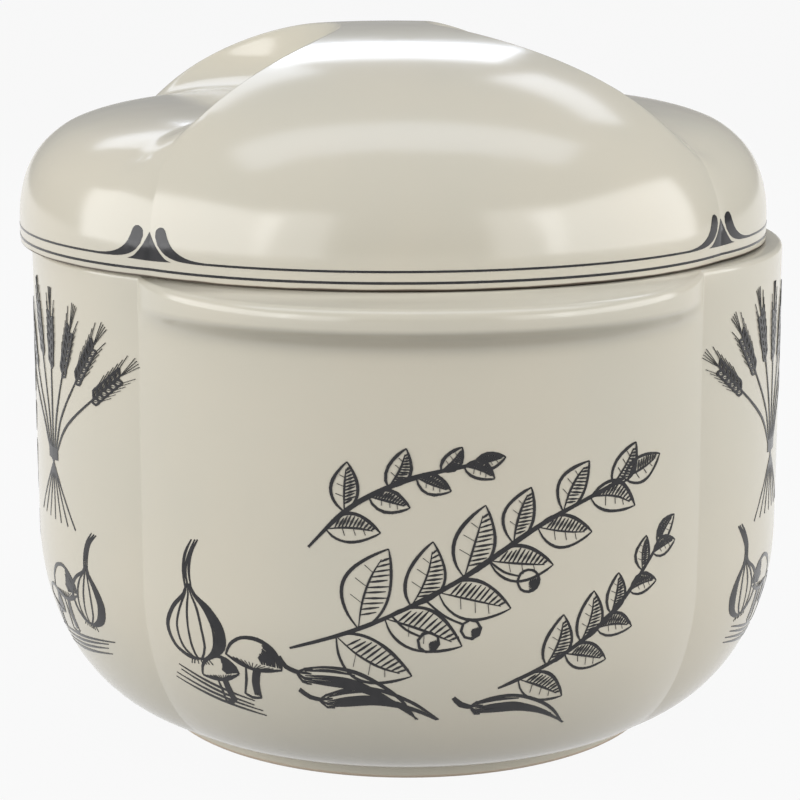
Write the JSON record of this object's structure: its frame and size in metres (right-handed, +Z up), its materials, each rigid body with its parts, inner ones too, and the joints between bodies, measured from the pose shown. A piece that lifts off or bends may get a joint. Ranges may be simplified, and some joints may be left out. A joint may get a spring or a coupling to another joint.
{
  "type": "lidded ceramic terrine",
  "caption": "Lobed stoneware terrine: a deep pot on a foot ring with grip ledges along its rim, and a domed lid with finger scoops beside a ridge.",
  "frame": {"origin": "centre of the circle that the foot ring stands on, in its resting plane", "axes": "+Z up, -Y towards the front of the picture, where a grip ledge runs, and +X to its right, through a side lobe"},
  "size_m": [0.2421, 0.26, 0.2194],
  "materials": {
    "pot_glaze": "warm ivory glossy glaze, bare fired clay under the foot ring",
    "lid_glaze": "warm ivory glossy glaze with black lines near the edge"
  },
  "bodies": {
    "pot": {"pot": "pot_glaze"},
    "lid": {"lid": "lid_glaze"}
  },
  "joints": [
    {"name": "lid_lift", "type": "slide", "parent": "pot", "child": "lid", "axis": [0, 0, 1], "range_m": [0, 0.16]}
  ]
}
